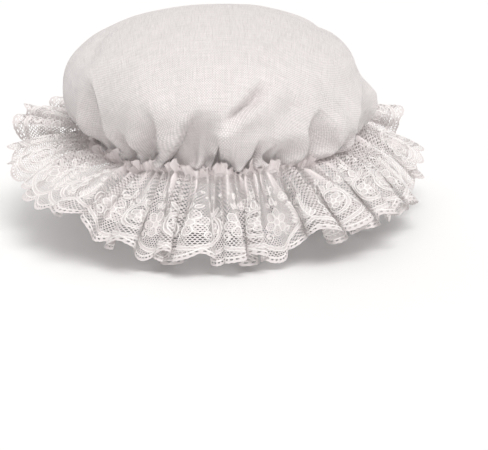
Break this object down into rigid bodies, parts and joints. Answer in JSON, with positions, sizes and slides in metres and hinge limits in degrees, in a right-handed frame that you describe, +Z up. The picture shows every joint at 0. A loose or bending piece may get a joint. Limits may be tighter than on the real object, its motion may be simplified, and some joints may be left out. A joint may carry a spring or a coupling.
{
  "type": "mob cap",
  "caption": "Puffed linen mob cap, gathered to an elastic head band, with a wide gathered ruffle of scalloped lace round it.",
  "frame": {"origin": "middle of the head opening, level with the line of stitches that joins the crown, the band and the lace", "axes": "+Z up through the crown, +Y towards the nape, -Y towards the face, +X towards the wearer's left"},
  "size_m": [0.2998, 0.3213, 0.1454],
  "materials": {
    "linen": "matt plain weave, off-white",
    "elastic_casing": "matt gathered tape, off-white",
    "lace": "soft white machine lace with a slight sheen"
  },
  "bodies": {
    "root": {"linen_crown": "linen", "gathering_band": "elastic_casing", "lace_ruffle": "lace"}
  },
  "joints": []
}
